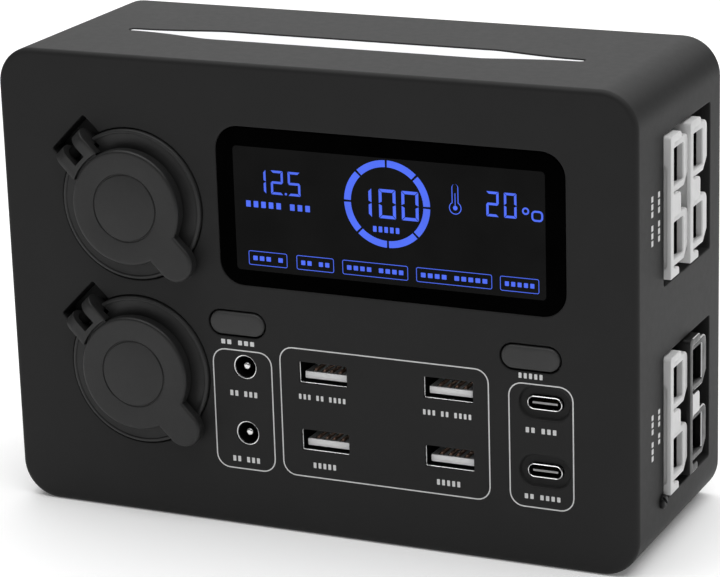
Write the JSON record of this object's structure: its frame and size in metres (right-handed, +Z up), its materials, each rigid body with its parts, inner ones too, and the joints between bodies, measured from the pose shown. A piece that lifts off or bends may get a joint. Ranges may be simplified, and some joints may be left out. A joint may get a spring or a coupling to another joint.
{
  "type": "portable power station",
  "caption": "Charcoal box power hub with a wide display, two round lidded 12 V sockets, small power ports, two push buttons, side high-current connectors and a top light strip.",
  "frame": {"origin": "centre of the housing's flat base", "axes": "+X to the right seen from the front, +Y from the front face to the rear cover, +Z up"},
  "size_m": [0.1788, 0.0683, 0.125],
  "materials": {
    "charcoal_shell": "fine matt texture",
    "black_steel": "blackened steel",
    "white_diffuser": "opal diffuser",
    "circuit_board": "green solder mask",
    "black_lens": "polished black lens",
    "dark_module": "moulded frame",
    "button_plastic": "satin",
    "black_plastic": "moulded nylon",
    "socket_plastic": "moulded, slight sheen",
    "black_rubber": "soft matt rubber",
    "nickel": "nickel plated",
    "brass_contact": "plated contact on an insulator",
    "white_plastic": "moulded contact carrier",
    "grey_connector": "light grey polycarbonate",
    "black_connector": "black polycarbonate",
    "silver_contact": "silver plated copper",
    "ferrite": "ferrite block",
    "capacitor_sleeve": "shrink sleeve",
    "aluminium": "plain extrusion",
    "copper": "bare copper bar",
    "red_lead": "silicone insulation",
    "black_lead": "silicone insulation"
  },
  "bodies": {
    "station": {"housing": "charcoal_shell", "rear_cover": "charcoal_shell", "cover_screws": "black_steel", "light_diffuser": "white_diffuser", "light_board": "circuit_board", "display_lens": "black_lens", "display_module": "dark_module", "power_switch": "black_plastic", "light_switch": "black_plastic", "upper_flange": "socket_plastic", "upper_sleeve": "nickel", "upper_contact": "brass_contact", "upper_nut": "black_plastic", "upper_pin": "nickel", "lower_flange": "socket_plastic", "lower_sleeve": "nickel", "lower_contact": "brass_contact", "lower_nut": "black_plastic", "lower_pin": "nickel", "upper_jack_body": "black_plastic", "upper_jack_pin": "nickel", "lower_jack_body": "black_plastic", "lower_jack_pin": "nickel", "usb_a_shell_1": "nickel", "usb_a_tongue_1": "white_plastic", "usb_a_shell_2": "nickel", "usb_a_tongue_2": "white_plastic", "usb_a_shell_3": "nickel", "usb_a_tongue_3": "white_plastic", "usb_a_shell_4": "nickel", "usb_a_tongue_4": "white_plastic", "usb_c_shell_1": "nickel", "usb_c_tongue_1": "black_plastic", "usb_c_shell_2": "nickel", "usb_c_tongue_2": "black_plastic", "upper_tray": "black_plastic", "lower_tray": "black_plastic", "connector_1": "grey_connector", "connector_2": "grey_connector", "connector_3": "grey_connector", "connector_4": "black_connector", "contacts_1": "silver_contact", "contacts_2": "silver_contact", "contacts_3": "silver_contact", "contacts_4": "silver_contact", "side_screw": "black_steel", "main_board": "circuit_board", "board_screws": "nickel", "power_board": "circuit_board", "inductors": "ferrite", "capacitors": "capacitor_sleeve", "heat_sink": "aluminium", "positive_bar": "copper", "negative_bar": "copper", "positive_lead": "red_lead", "negative_lead": "black_lead"},
    "power_button": {"power_button": "button_plastic"},
    "light_button": {"light_button": "button_plastic"},
    "upper_lid": {"upper_lid": "black_rubber"},
    "lower_lid": {"lower_lid": "black_rubber"}
  },
  "joints": [
    {"name": "power_press", "type": "slide", "parent": "station", "child": "power_button", "axis": [0, 1, 0], "range_m": [0, 0.0005], "stiffness_N_per_m": 600, "springref_m": -0.001},
    {"name": "light_press", "type": "slide", "parent": "station", "child": "light_button", "axis": [0, 1, 0], "range_m": [0, 0.0005], "stiffness_N_per_m": 600, "springref_m": -0.001},
    {"name": "upper_lid_hinge", "type": "hinge", "parent": "station", "child": "upper_lid", "pos_m": [-0.06458, -0.0329, 0.09968], "axis": [-0.7071, 0, -0.7071], "range_deg": [0, 105]},
    {"name": "lower_lid_hinge", "type": "hinge", "parent": "station", "child": "lower_lid", "pos_m": [-0.06458, -0.0329, 0.05448], "axis": [-0.7071, 0, -0.7071], "range_deg": [0, 105]}
  ]
}
